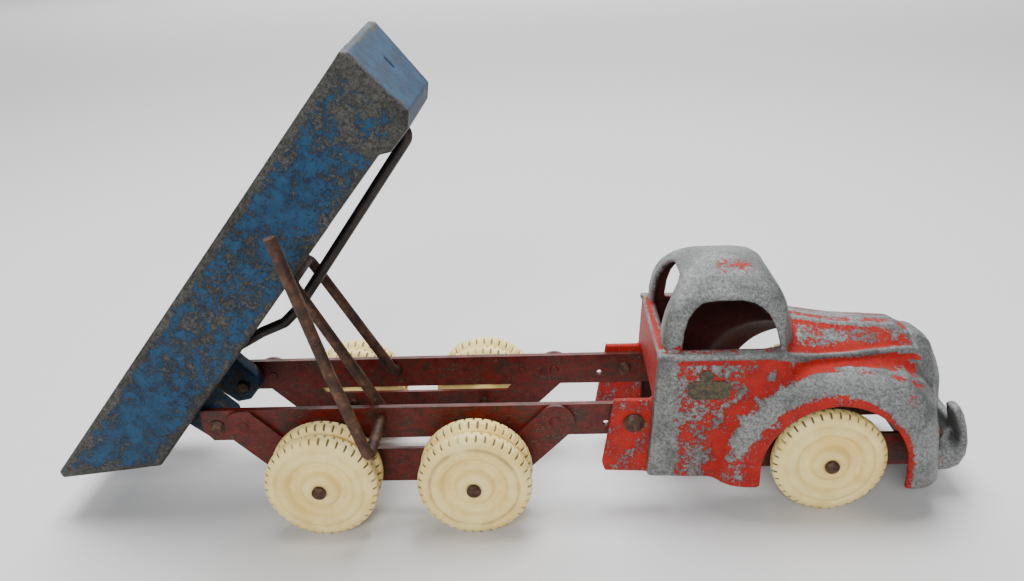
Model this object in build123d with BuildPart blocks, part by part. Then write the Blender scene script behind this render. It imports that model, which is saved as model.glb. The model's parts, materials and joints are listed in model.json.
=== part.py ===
from build123d import *
import os
from math import cos, hypot, radians, sin

# Six-wheel toy tip truck, millimetres. +X is the front of the truck, +Y its left, +Z up.
# It is drawn about the plane midway between its rails. The finished pieces are then moved,
# so that the origin is on the ground under the middle of the truck with its tray raised.

# ---- wheels and axles ------------------------------------------------------------------
WHEEL_R = 28.5
WHEEL_W = 11.0
AXLE_R = 2.75
RUN_FIT = 0.06              # radial clearance of every turning fit
FRONT_AXLE_X = 158.7
REAR_AXLE_X = (-94.7, -18.2)
FRONT_FACE_Y = 41.6         # outer tyre face of the front wheels
OUTER_FACE_Y = 56.6         # outer tyre face of the outer rear wheels
DUAL_GAP = 0.5              # between the two wheels of a pair

# ---- chassis ---------------------------------------------------------------------------
RAIL_Z = (40.5, 58.3)
RAIL_Y = (24.7, 27.7)
RAIL_X = (-160.0, 104.0)
STRIP_T = 2.0               # hanger strip thickness
HANGER_MID_X = -57.8
HANGER_REACH = 80.4         # from the middle of the hanger to the centre of a rounded end
HANGER_END_Z = 49.0
HANGER_BAR_Z = (15.0, 35.0)
FRONT_BAR_Z = (17.0, 36.0)

# ---- tipping gear ----------------------------------------------------------------------
TRAY_ANGLE = 50.1           # raised angle, the rest position
HINGE = (-152.4, 48.4)      # X and Z of the tray hinge
PIVOT = (-66.4, 52.0)       # X and Z of the lever pivot
ROD_R = 2.8
PIN_R = 2.5
CRANK = (-105.5, 124.0)     # X and Z of the lever's cross piece
CRANK_TOP_Y = 16.5
CRANK_FOOT_Y = 19.5
HANDLE_Y = -62.3
HANDLE_BEND = (-79.5, 97.0)
HANDLE_TIP = (-96.7, 164.0)

# ---- tray, along the floor and square to it, from the hinge axis ------------------------
TRAY_HALF = 37.0
WARP = 3.3                  # how far the left front corner of the rim stands up and forward
TRAY_WALL = 2.8
TRAY_RIM = 52.6
TRAY_REAR = -71.0
TRAY_FRONT = 202.5
FLOOR = (20.0, 23.0)        # underside and top of the tray floor
TAIL_FOOT = -40.4           # where the floor turns up into the sloping tail
LUG_Y = (14.0, 24.2)

# ---- cab -------------------------------------------------------------------------------
SKIN = 3.0
BELT_Z = 89.0
SKIRT_Z = 20.0
BODY_HALF = 37.0
WING_HALF = 46.0
ARCH_R = 35.5
LUG_PLATE_Y = (27.9, 31.4)
LUG_RIVET = (61.7, 49.3)
NOSE_RIVET_Y = 15.0
NOSE_RIVET_Z = 30.5
NOSE_RIVET_HEAD_X = 219.6   # front face of the plate between the wings

# from the middle of the two rails to the middle of the whole truck's box, which the lever's
# handle and the bumper shift
TO_ORIGIN = (2.02, 2.95, 0)

os.makedirs("parts", exist_ok=True)


def finish(label, *solids):
    """Move a finished piece to the truck's origin, name it and write its file."""
    moved = [solid.moved(Location(TO_ORIGIN)) for solid in solids]
    piece = moved[0] if len(moved) == 1 else Compound(children=moved)
    piece.label = label
    export_step(piece, f"parts/{label}.step")


def side_plane(y):
    """A plane square to Y at the given height across the truck, its drawing axes X and Z."""
    return Plane(origin=(0, y, 0), x_dir=(1, 0, 0), z_dir=(0, -1, 0))


def tray_plane(y=0.0):
    """The tray's own drawing plane: x along the floor from the hinge, y square to it."""
    a = radians(TRAY_ANGLE)
    return Plane(origin=(HINGE[0], y, HINGE[1]), x_dir=(cos(a), 0, sin(a)), z_dir=(0, -1, 0))


def tray_point(along, up, y=0.0):
    """A point of the truck from the tray's own measures."""
    a = radians(TRAY_ANGLE)
    x = HINGE[0] + along * cos(a) - up * sin(a)
    z = HINGE[1] + along * sin(a) + up * cos(a)
    return (x, y, z)


def box_between(low, high):
    """A box from its lowest and highest corners, added in the current mode."""
    size = [b - a for a, b in zip(low, high)]
    centre = [(a + b) / 2 for a, b in zip(low, high)]
    with Locations(tuple(centre)):
        Box(*size)


# ========================================================================================
# Chassis rails: flat steel bars with the rear lower corner cut off
# ========================================================================================
RAIL_HOLES = [                       # X, Z and radius of each hole through a rail
    (HINGE[0], HINGE[1], PIN_R),
    (PIVOT[0], PIVOT[1], ROD_R + RUN_FIT),
    (LUG_RIVET[0], LUG_RIVET[1], PIN_R),
    (HANGER_MID_X - HANGER_REACH, HANGER_END_Z, 1.6),
    (HANGER_MID_X + HANGER_REACH, HANGER_END_Z, 1.6),
    (48.0, 47.0, 1.6),
    (92.0, 49.4, 1.6),
]
for side, hand in ((-1, "right"), (1, "left")):
    y_out = side * RAIL_Y[1]
    with BuildPart() as rail:
        with BuildSketch(side_plane(y_out)):
            with BuildLine():
                Polyline(
                    (RAIL_X[0], RAIL_Z[1]),
                    (RAIL_X[1], RAIL_Z[1]),
                    (RAIL_X[1], RAIL_Z[0]),
                    (RAIL_X[0] + 4.5, RAIL_Z[0]),
                    (RAIL_X[0], RAIL_Z[0] + 6.0),
                    close=True,
                )
            make_face()
            for x, z, r in RAIL_HOLES:
                with Locations((x, z)):
                    Circle(r, mode=Mode.SUBTRACT)
        extrude(amount=side * (RAIL_Y[1] - RAIL_Y[0]))
    finish(f"rail_{hand}", rail.part)

# ========================================================================================
# Rear axle hangers: flat strips bent up at both ends, on the outside of the rails
# ========================================================================================
STRIP_HALF = 9.6
ARM_SHOULDER = STRIP_HALF * 0.7071
for side, hand in ((-1, "right"), (1, "left")):
    with BuildPart() as hanger:
        with BuildSketch(side_plane(side * (RAIL_Y[1] + STRIP_T))):
            with Locations((HANGER_MID_X, 0)):
                Polygon(
                    (-53.0, HANGER_BAR_Z[1]),
                    (-HANGER_REACH + ARM_SHOULDER, HANGER_END_Z + ARM_SHOULDER),
                    (-HANGER_REACH - ARM_SHOULDER, HANGER_END_Z - ARM_SHOULDER),
                    (-59.8, HANGER_BAR_Z[0]),
                    (59.8, HANGER_BAR_Z[0]),
                    (HANGER_REACH + ARM_SHOULDER, HANGER_END_Z - ARM_SHOULDER),
                    (HANGER_REACH - ARM_SHOULDER, HANGER_END_Z + ARM_SHOULDER),
                    (53.0, HANGER_BAR_Z[1]),
                    align=None,
                )
            for end in (-1, 1):
                with Locations((HANGER_MID_X + end * HANGER_REACH, HANGER_END_Z)):
                    Circle(STRIP_HALF)
                    Circle(1.6, mode=Mode.SUBTRACT)
            for x in REAR_AXLE_X:
                with Locations((x, WHEEL_R)):
                    Circle(AXLE_R, mode=Mode.SUBTRACT)
        extrude(amount=side * STRIP_T)
    finish(f"hanger_{hand}", hanger.part)

# ========================================================================================
# Front axle frame: one strip bent to a U in plan, with arms that rise to the rails
# ========================================================================================
FRAME_NOSE_X = 210.0
FRAME_IN = RAIL_Y[0] - STRIP_T
with BuildPart() as front_axle_frame:
    for side in (-1, 1):
        with BuildSketch(side_plane(side * RAIL_Y[0])):
            Polygon(
                (FRAME_NOSE_X, FRONT_BAR_Z[0]),
                (FRAME_NOSE_X, FRONT_BAR_Z[1]),
                (118.0, FRONT_BAR_Z[1]),
                (101.0, 57.0),
                (84.0, 57.0),
                (84.0, 42.0),
                (108.0, FRONT_BAR_Z[0]),
                align=None,
            )
            with Locations((FRONT_AXLE_X, WHEEL_R)):
                Circle(AXLE_R, mode=Mode.SUBTRACT)
            with Locations((92.0, 49.4)):
                Circle(1.6, mode=Mode.SUBTRACT)
        extrude(amount=side * STRIP_T)
    box_between(
        (FRAME_NOSE_X - STRIP_T, -RAIL_Y[0], FRONT_BAR_Z[0]),
        (FRAME_NOSE_X, RAIL_Y[0], FRONT_BAR_Z[1]),
    )
    for side in (-1, 1):
        with Locations(Location((FRAME_NOSE_X, side * NOSE_RIVET_Y, NOSE_RIVET_Z), (0, 90, 0))):
            Cylinder(PIN_R, 3 * STRIP_T, mode=Mode.SUBTRACT)
finish("front_axle_frame", front_axle_frame.part)

# ========================================================================================
# Axles: plain rods with a peened head at each end
# ========================================================================================
HEAD_R = 3.5


def axle(half_length, x):
    """A rod across the truck, its two ends upset into shallow domed heads."""
    with BuildPart() as rod:
        with BuildSketch(Plane(origin=(x, 0, WHEEL_R), x_dir=(1, 0, 0), z_dir=(0, 0, 1))):
            with BuildLine():
                Polyline(
                    (0, -half_length - 1.5),
                    (HEAD_R - 1.0, -half_length - 1.5),
                    (HEAD_R, -half_length - 0.7),
                    (HEAD_R, -half_length),
                    (AXLE_R, -half_length),
                    (AXLE_R, half_length),
                    (HEAD_R, half_length),
                    (HEAD_R, half_length + 0.7),
                    (HEAD_R - 1.0, half_length + 1.5),
                    (0, half_length + 1.5),
                    close=True,
                )
            make_face()
        revolve(axis=Axis((x, 0, WHEEL_R), (0, 1, 0)))
    return rod.part


finish("axle_front", axle(FRONT_FACE_Y + 1.1, FRONT_AXLE_X))
for number, x in enumerate(REAR_AXLE_X, 1):
    finish(f"axle_rear_{number}", axle(OUTER_FACE_Y + 1.1, x))

# ========================================================================================
# Wheels: moulded tyre and hub in one piece, face recessed between tread and hub
# ========================================================================================
HUB_R = 9.8
DISH_R = 16.4


def wheel(x, face_y, back_boss):
    """A wheel whose face looks along the sign of face_y, with a boss behind it."""
    out = 1 if face_y > 0 else -1
    with BuildPart() as body:
        with BuildSketch(Plane(origin=(x, 0, WHEEL_R), x_dir=(1, 0, 0), z_dir=(0, 0, 1))):
            bore = AXLE_R + RUN_FIT
            face = face_y
            back = face_y - out * WHEEL_W
            with BuildLine():
                Polyline(
                    (bore, face + out * 0.7),
                    (HUB_R - 2.0, face + out * 0.7),
                    (HUB_R, face - out * 0.6),
                    (HUB_R + 1.6, face - out * 2.6),
                    (DISH_R - 1.0, face - out * 2.6),
                    (DISH_R + 1.2, face - out * 0.4),
                    (DISH_R + 4.0, face),
                    (WHEEL_R - 3.0, face - out * 0.6),
                    (WHEEL_R, face - out * 2.4),
                    (WHEEL_R, back + out * 1.6),
                    (WHEEL_R - 2.0, back),
                    (HUB_R, back),
                    (HUB_R - 2.5, back - out * back_boss),
                    (bore, back - out * back_boss),
                    close=True,
                )
            make_face()
        revolve(axis=Axis((x, 0, WHEEL_R), (0, 1, 0)))
    return body.part


INNER_FACE_Y = OUTER_FACE_Y - WHEEL_W - DUAL_GAP - 0.7
for side, hand in ((-1, "right"), (1, "left")):
    front_boss = FRONT_FACE_Y - WHEEL_W - RAIL_Y[0] - 0.4
    finish(f"wheel_front_{hand}", wheel(FRONT_AXLE_X, side * FRONT_FACE_Y, front_boss))
    for number, x in enumerate(REAR_AXLE_X, 1):
        inner_boss = INNER_FACE_Y - WHEEL_W - RAIL_Y[1] - STRIP_T - 0.4
        finish(f"wheel_rear_{number}_outer_{hand}", wheel(x, side * OUTER_FACE_Y, 0.2))
        finish(f"wheel_rear_{number}_inner_{hand}", wheel(x, side * INNER_FACE_Y, inner_boss))

# ========================================================================================
# Tray: open-topped cast box with a sloping tail, two hinge lugs and a front bolster
# ========================================================================================
BOLSTER_L = (176.0, 196.0)


def tray_block(half, outline):
    """A solid across the tray; outline gives its side profile for a warp of 0 or WARP."""
    sides = []
    for y, warp in ((-half, 0.0), (half, WARP)):
        with BuildSketch(tray_plane(y), mode=Mode.PRIVATE) as profile:
            Polygon(*outline(warp), align=None)
        sides.append(profile.sketch)
    return loft(sides, ruled=True, mode=Mode.PRIVATE)


def tray_outside(warp):
    """Side profile of the casting."""
    return [
        (TRAY_REAR + 0.4, TRAY_RIM),
        (TRAY_REAR - 1.5, TRAY_RIM - 4.0),
        (-33.0, 11.8),
        (174.0, 14.2),
        (178.0, 11.0),
        (191.0, 10.7),
        (198.0, 15.0),
        (TRAY_FRONT + warp, TRAY_RIM - 3.0 + warp),
        (TRAY_FRONT - 2.0 + warp, TRAY_RIM + warp),
    ]


def tray_inside(warp):
    """Side profile of the load space, open above the rim."""
    above = TRAY_RIM + WARP + 1.0
    return [
        (TAIL_FOOT, FLOOR[1]),
        (TRAY_FRONT - 7.0, FLOOR[1]),
        (TRAY_FRONT - 3.6 + warp, above),
        (TAIL_FOOT - 1.073 * (above - FLOOR[1]), above),
    ]


with BuildPart() as tray_shell:
    add(tray_block(TRAY_HALF, tray_outside))
    add(tray_block(TRAY_HALF - TRAY_WALL, tray_inside), mode=Mode.SUBTRACT)
    # space under the floor, behind the bolster
    with BuildSketch(tray_plane()):
        Polygon(
            (TAIL_FOOT + 14.0, 5.0),
            (BOLSTER_L[0] + 1.0, 5.0),
            (BOLSTER_L[0] + 1.0, FLOOR[0]),
            (TAIL_FOOT + 14.0, FLOOR[0]),
            align=None,
        )
    extrude(amount=TRAY_HALF - TRAY_WALL, both=True, mode=Mode.SUBTRACT)
    for side in (-1, 1):
        with BuildSketch(tray_plane(side * LUG_Y[0])):
            Polygon(
                (-11.0, FLOOR[0] + 0.5),
                (-11.0, -3.0),
                (-5.0, -8.0),
                (5.0, -8.0),
                (10.0, -3.0),
                (13.0, FLOOR[0] + 0.5),
                align=None,
            )
            Circle(PIN_R + RUN_FIT, mode=Mode.SUBTRACT)
        extrude(amount=-side * (LUG_Y[1] - LUG_Y[0]))
    # slit through the front wall
    with BuildSketch(tray_plane(2.0)):
        with Locations((TRAY_FRONT, 34.5)):
            Rectangle(14.0, 6.5)
    extrude(amount=0.7, both=True, mode=Mode.SUBTRACT)
    # pocket in the bolster that takes the upper end of the guide rod
    with BuildSketch(tray_plane()):
        with Locations((180.3, 11.4)):
            Rectangle(8.4, 12.4)
    extrude(amount=ROD_R + 0.4, both=True, mode=Mode.SUBTRACT)
finish("tray_shell", tray_shell.part)

# ========================================================================================
# Guide rod: bent flat-ended rod under the tray, the lever's cross piece slides above it
# ========================================================================================
GUIDE_ROUTE = [(26.0, 16.9), (45.0, 9.6), (57.5, 3.1), (67.5, 1.9), (179.6, 8.3), (181.0, 16.0)]
with BuildPart() as guide_rod:
    with BuildLine() as guide_path:
        points = [tray_point(*p) for p in GUIDE_ROUTE]
        FilletPolyline(*points, radius=4.6)
    with BuildSketch(Plane(origin=guide_path.line @ 0, z_dir=guide_path.line % 0)):
        Circle(ROD_R)
    sweep()
finish("guide_rod", guide_rod.part)

# ========================================================================================
# Lever: one bent rod, handle outside the wheels, crank under the tray
# ========================================================================================
with BuildPart() as lever_rod:
    with BuildLine() as lever_path:
        FilletPolyline(
            (HANDLE_TIP[0], HANDLE_Y, HANDLE_TIP[1]),
            (HANDLE_BEND[0], HANDLE_Y, HANDLE_BEND[1]),
            (PIVOT[0], HANDLE_Y, PIVOT[1]),
            (PIVOT[0], -CRANK_FOOT_Y, PIVOT[1]),
            (CRANK[0], -CRANK_TOP_Y, CRANK[1]),
            (CRANK[0], CRANK_TOP_Y, CRANK[1]),
            (PIVOT[0], CRANK_FOOT_Y, PIVOT[1]),
            (PIVOT[0], RAIL_Y[1] + 3.2, PIVOT[1]),
            radius=4.2,
        )
    with BuildSketch(Plane(origin=lever_path.line @ 0, z_dir=lever_path.line % 0)):
        Circle(ROD_R)
    sweep()
finish("lever_rod", lever_rod.part)


# ========================================================================================
# Rivets: turned pins along Y with a domed head outside and a peened end inside
# ========================================================================================
def rivet(x, z, side, y_head, y_tail, shank_r, head_r, tail_r, head_t=2.0, tail_t=1.2):
    """A rivet from its head, outside at y_head, to its peened tail at y_tail."""
    with BuildPart() as pin:
        with BuildSketch(Plane(origin=(x, 0, z), x_dir=(1, 0, 0), z_dir=(0, 0, 1))):
            with BuildLine():
                Polyline(
                    (0, side * (y_head + head_t)),
                    (head_r * 0.55, side * (y_head + head_t * 0.85)),
                    (head_r, side * (y_head + head_t * 0.3)),
                    (head_r, side * y_head),
                    (shank_r, side * y_head),
                    (shank_r, side * y_tail),
                    (tail_r, side * y_tail),
                    (tail_r * 0.8, side * (y_tail - tail_t)),
                    (0, side * (y_tail - tail_t)),
                    close=True,
                )
            make_face()
        revolve(axis=Axis((x, 0, z), (0, 1, 0)))
    return pin.part


for side, hand in ((-1, "right"), (1, "left")):
    tail_y = LUG_Y[0] - 0.4
    finish(
        f"hinge_rivet_{hand}",
        rivet(HINGE[0], HINGE[1], side, RAIL_Y[1], tail_y, PIN_R, 4.2, 3.4),
    )
    finish(
        f"cab_rivet_{hand}",
        rivet(LUG_RIVET[0], LUG_RIVET[1], side, LUG_PLATE_Y[1], RAIL_Y[0], PIN_R, 5.2, 4.0, 2.6),
    )
    hanger_pins = []
    for end in (-1, 1):
        x = HANGER_MID_X + end * HANGER_REACH
        y_head = RAIL_Y[1] + STRIP_T
        hanger_pins.append(rivet(x, HANGER_END_Z, side, y_head, RAIL_Y[0], 1.6, 3.2, 2.6, 0.9, 0.8))
    frame_pin = rivet(92.0, 49.4, side, RAIL_Y[1], FRAME_IN, 1.6, 3.0, 2.6, 0.9, 0.8)
    finish(f"frame_rivets_{hand}", *hanger_pins, frame_pin)

# ========================================================================================
# Cab: one hollow casting with bonnet, wings, bumper and two lugs that hold the rails
# ========================================================================================
# half sections of the bonnet at rising X: distance from the middle plane and height
BONNET_SECTIONS = {
    130.0: [(0, 98.0), (7, 96.5), (8.4, 95.6), (17, 91.5), (25, 85.5), (30, 80.5)],
    146.0: [(0, 95.3), (7, 93.3), (8.4, 92.4), (16, 88.8), (23, 83.5), (26.5, 79.5)],
    165.0: [(0, 91.5), (7, 89.5), (8.4, 88.7), (15, 85.5), (21, 81.0), (24.5, 77.5)],
    182.0: [(0, 89.7), (7, 87.6), (8.2, 86.8), (13, 84.5), (18, 80.5), (22, 76.5)],
    194.0: [(0, 88.2), (6.8, 86.0), (8.0, 85.2), (11.5, 83.2), (15.5, 79.5), (19.5, 75.0)],
    199.0: [(0, 85.5), (6.5, 84.4), (7.8, 84.0), (11, 82.3), (15, 78.8), (19, 74.5)],
    207.0: [(0, 82.2), (6, 81.8), (7.5, 81.5), (10.5, 80.0), (14.5, 76.5), (18.5, 72.0)],
    214.0: [(0, 78.8), (5.5, 78.4), (7, 78.0), (9.8, 76.6), (13.5, 73.0), (17, 68.0)],
    218.5: [(0, 73.5), (5, 73.0), (6.5, 72.6), (9, 71.0), (12.5, 67.0), (15.5, 62.0)],
}
# side outlines of a wing at rising distance from the middle plane, X and Z from the rear foot
WING_OUTLINES = {
    24.0: [
        (100, 20), (103.5, 44), (109.5, 59.5), (118, 70), (130, 76), (146, 78.5), (165, 78.5),
        (182, 76.5), (194, 73.5), (203, 68), (209, 59), (213, 44), (216, 18),
    ],
    30.0: [
        (100, 20), (103.5, 44), (109.5, 59.5), (118, 69.7), (130, 75.5), (146, 77.8), (165, 77.8),
        (182, 75.7), (194, 72.5), (203, 67.3), (209, 58.5), (213, 44), (216, 18),
    ],
    37.0: [
        (101, 20), (104.5, 43.5), (110.5, 58), (119, 67.5), (131, 73), (147, 75), (165, 75),
        (181, 73), (192.5, 70), (201, 65), (207, 57), (211, 43), (214, 18),
    ],
    42.0: [
        (102, 20), (106, 42.5), (112, 55.5), (120.5, 64), (132, 69), (148, 70.8), (165, 70.8),
        (180, 69), (191, 66), (198.5, 61.5), (204, 54.5), (208.5, 42), (211.5, 18),
    ],
    46.0: [
        (105, 20), (109, 41), (115, 52.5), (123, 60), (134, 64.2), (149, 66), (165, 66),
        (178, 64.5), (188, 61.5), (195, 57), (200, 50.5), (204.5, 40), (208, 18),
    ],
}
# plan of the cabin at rising heights: Z, rear X, front X, half width, corner radius
CABIN_LEVELS = [
    (BELT_Z - 1.0, 72.5, 143.0, 35.0, 13.0),
    (104.0, 73.8, 138.5, 33.0, 13.0),
    (113.0, 76.0, 134.0, 30.5, 14.0),
    (120.0, 80.0, 128.5, 26.0, 14.0),
    (124.5, 84.0, 121.5, 18.0, 11.0),
    (127.5, 91.0, 112.0, 9.0, 6.0),
]


def bonnet(inset):
    """The bonnet as a ruled body through its sections, made smaller by inset."""
    sections = []
    for x, half in BONNET_SECTIONS.items():
        right = [(y - inset * min(1.0, y / 12), z - inset) for y, z in half]
        right.append((right[-1][0], 50.0))
        outline = right + [(-y, z) for y, z in reversed(right) if y > 0]
        x_in = min(x, max(BONNET_SECTIONS) - inset)
        plane = Plane(origin=(x_in, 0, 0), x_dir=(0, 1, 0), z_dir=(1, 0, 0))
        with BuildSketch(plane, mode=Mode.PRIVATE) as section:
            Polygon(*outline, align=None)
        sections.append(section.sketch)
    return loft(sections, ruled=True, mode=Mode.PRIVATE)


def drawn_in(outline, inset):
    """An open outline moved square to itself, to its right, by inset."""
    normals = []
    for (x0, z0), (x1, z1) in zip(outline, outline[1:]):
        length = hypot(x1 - x0, z1 - z0)
        normals.append(((z1 - z0) / length, (x0 - x1) / length))
    pairs = zip([normals[0]] + normals, normals + [normals[-1]])
    moved = []
    for (x, z), (a, b) in zip(outline, pairs):
        scale = inset / (1 + a[0] * b[0] + a[1] * b[1])
        moved.append((x + scale * (a[0] + b[0]), z + scale * (a[1] + b[1])))
    return moved


def wing(side, inset):
    """One front wing as a ruled body through its side outlines, made smaller by inset."""
    sections = []
    for y, outline in WING_OUTLINES.items():
        points = drawn_in(outline, inset)
        if inset:
            points = [(points[0][0], 0.0)] + points[1:-1] + [(points[-1][0], 0.0)]
        with BuildSketch(side_plane(side * (y - inset)), mode=Mode.PRIVATE) as section:
            Polygon(*points, align=None)
        sections.append(section.sketch)
    return loft(sections, ruled=True, mode=Mode.PRIVATE)


def cabin(inset):
    """The cabin above the belt line, drawn in by inset all round for the hollow inside."""
    levels = []
    for z, rear, front, half, corner in CABIN_LEVELS:
        drop = inset if z > BELT_Z else 4.0 * (inset > 0)
        with BuildSketch(Plane.XY.offset(z - drop), mode=Mode.PRIVATE) as level:
            with Locations(((rear + front) / 2, 0)):
                length = front - rear - 2 * inset
                width = 2 * (half - inset)
                RectangleRounded(length, width, corner - min(inset, corner - 3.0))
        levels.append(level.sketch)
    return loft(levels, ruled=True, mode=Mode.PRIVATE)


with BuildPart() as cab_shell:
    # doors and back wall below the belt line, narrowing in plan towards the bonnet
    with BuildSketch():
        Polygon(
            (60.0, -BODY_HALF), (127.0, -BODY_HALF), (137.0, -34.0), (148.0, -26.0),
            (148.0, 26.0), (137.0, 34.0), (127.0, BODY_HALF), (60.0, BODY_HALF), align=None,
        )
    extrude(amount=BELT_Z + 1)
    with BuildSketch(side_plane(0)):
        Polygon(
            (66.0, SKIRT_Z), (72.0, BELT_Z), (128.0, BELT_Z), (148.0, 81.0), (148.0, 50.0),
            (139.0, SKIRT_Z), align=None,
        )
    extrude(amount=BODY_HALF + 5, both=True, mode=Mode.INTERSECT)
    add(bonnet(0.0))
    for side in (-1, 1):
        add(wing(side, 0.0))
    # front wall between the wings, the plate that the rivets hold, and the upright grille
    with BuildSketch(side_plane(0)):
        Polygon(
            (190.0, 72.0), (206.0, 68.0), (213.0, 56.0), (216.0, 40.0), (217.0, 18.0),
            (190.0, 18.0), align=None,
        )
    extrude(amount=25.0, both=True)
    with BuildSketch(side_plane(0)):
        Polygon(
            (205.0, 62.0), (213.0, 62.0), (217.0, 46.0), (NOSE_RIVET_HEAD_X, 36.0),
            (NOSE_RIVET_HEAD_X, 20.0), (205.0, 18.0), align=None,
        )
    extrude(amount=21.0, both=True)
    with BuildSketch(side_plane(0)):
        Polygon(
            (205.0, 60.0), (218.5, 70.0), (222.0, 60.0), (224.0, 48.0), (225.0, 36.0),
            (225.0, 20.0), (205.0, 18.0), align=None,
        )
    extrude(amount=9.0, both=True)
    add(cabin(0.0))
    # hollow inside, open below
    with BuildSketch():
        inner = BODY_HALF - SKIN
        Polygon(
            (60.0, -inner), (126.0, -inner), (135.5, -31.3), (145.0, -24.5),
            (145.0, 24.5), (135.5, 31.3), (126.0, inner), (60.0, inner), align=None,
        )
    hollow = extrude(amount=BELT_Z, mode=Mode.PRIVATE)
    with BuildSketch(side_plane(0)):
        Polygon(
            (66.0 + SKIN, -1.0), (66.0 + SKIN, SKIRT_Z), (72.0 + SKIN, BELT_Z - SKIN),
            (127.0, BELT_Z - SKIN), (146.0, 78.0), (146.0, -1.0), align=None,
        )
    add(hollow & extrude(amount=BODY_HALF, both=True, mode=Mode.PRIVATE), mode=Mode.SUBTRACT)
    add(bonnet(SKIN), mode=Mode.SUBTRACT)
    for side in (-1, 1):
        add(wing(side, SKIN), mode=Mode.SUBTRACT)
    with BuildSketch(side_plane(0)):
        Polygon(
            (130.0, -1.0), (130.0, 60.0), (190.0, 60.0), (203.0, 64.0), (210.0, 55.0),
            (212.5, 40.0), (213.0, -1.0), align=None,
        )
    extrude(amount=22.0, both=True, mode=Mode.SUBTRACT)
    add(cabin(SKIN), mode=Mode.SUBTRACT)
    # wheel arches
    with BuildSketch(side_plane(0)):
        with Locations((FRONT_AXLE_X, WHEEL_R)):
            Circle(ARCH_R)
        with Locations((FRONT_AXLE_X, 0)):
            Rectangle(2 * ARCH_R + 2.0, 2 * WHEEL_R)
    extrude(amount=WING_HALF + 5, both=True, mode=Mode.SUBTRACT)
    # side windows, windscreen panes and rear window
    with BuildSketch(side_plane(0)) as side_window:
        Polygon(
            (84.0, BELT_Z + 0.5), (85.5, 101.0), (90.0, 111.0), (93.5, 114.0), (116.5, 114.0),
            (123.5, 108.5), (128.5, 98.0), (131.0, BELT_Z + 0.5), align=None,
        )
        fillet(side_window.vertices(), radius=2.0)
    extrude(amount=WING_HALF, both=True, mode=Mode.SUBTRACT)
    for side in (-1, 1):
        with Locations((135.0, side * 13.5, 107.0)):
            Box(24.0, 21.0, 13.0, mode=Mode.SUBTRACT)
    with BuildSketch(Plane(origin=(60.0, 0, 0), x_dir=(0, 1, 0), z_dir=(1, 0, 0))):
        with Locations((0, 106.0)):
            RectangleRounded(42.0, 30.0, 8.0)
    extrude(amount=30.0, mode=Mode.SUBTRACT)
    # way in for the rails through the back wall
    with Locations((66.0, 0, 30.0)):
        Box(18.0, 2 * LUG_PLATE_Y[0], 66.0, mode=Mode.SUBTRACT)
    # lugs outside the rails
    for side in (-1, 1):
        with BuildSketch(side_plane(side * LUG_PLATE_Y[0])):
            Polygon((51.5, 62.5), (72.0, 62.5), (69.5, 19.0), (47.0, 20.0), (45.5, 25.0), align=None)
        extrude(amount=-side * (LUG_PLATE_Y[1] - LUG_PLATE_Y[0]))
    for side in (-1, 1):
        with Locations(Location((LUG_RIVET[0], side * 29.6, LUG_RIVET[1]), (90, 0, 0))):
            Cylinder(PIN_R, 6.0, mode=Mode.SUBTRACT)
    # bumper: a deep bar ahead of the grille that curls up, with a trough behind it
    with BuildSketch(side_plane(0)):
        Polygon(
            (213.0, 12.0), (226.0, 12.5), (231.0, 15.0), (233.5, 22.0), (234.0, 30.0),
            (232.0, 39.5), (229.0, 46.5), (225.5, 50.5), (222.0, 49.0), (225.5, 43.0),
            (228.5, 36.0), (229.0, 30.0), (227.5, 26.5), (224.0, 25.0), (213.0, 25.0),
            align=None,
        )
    extrude(amount=27.0, both=True)
    for side in (-1, 1):
        with Locations(Location((218.0, side * NOSE_RIVET_Y, NOSE_RIVET_Z), (0, 90, 0))):
            Cylinder(PIN_R, 16.0, mode=Mode.SUBTRACT)
finish("cab_shell", cab_shell.part)

# ========================================================================================
# Two rivets that hold the front axle frame to the nose, and the two plain door badges
# ========================================================================================
nose_rivets = []
for side in (-1, 1):
    y = side * NOSE_RIVET_Y
    head_x = NOSE_RIVET_HEAD_X
    with BuildPart() as nose_rivet:
        with BuildSketch(Plane(origin=(0, y, NOSE_RIVET_Z), x_dir=(1, 0, 0), z_dir=(0, 0, 1))):
            with BuildLine():
                Polyline(
                    (205.5, 0), (205.5, 3.4), (208.0, 3.8), (208.0, PIN_R), (head_x, PIN_R),
                    (head_x, 4.8), (head_x + 1.2, 4.8), (head_x + 3.0, 2.6), (head_x + 3.4, 0),
                    close=True,
                )
            make_face()
        revolve(axis=Axis((0, y, NOSE_RIVET_Z), (1, 0, 0)))
    nose_rivets.append(nose_rivet.part)
finish("nose_rivets", *nose_rivets)

BADGE_T = 0.4
for side, hand in ((-1, "right"), (1, "left")):
    with BuildPart() as door_badge:
        with BuildSketch(side_plane(side * (BODY_HALF + 0.02))):
            with Locations((97.0, 70.5)):
                RectangleRounded(21.0, 10.0, 4.4)
            with Locations((95.5, 78.0)):
                Circle(3.4)
        extrude(amount=-side * BADGE_T)
    finish(f"door_badge_{hand}", door_badge.part)
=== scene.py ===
import json
import math

import bpy
import numpy as np
from mathutils import Matrix, Vector


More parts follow.
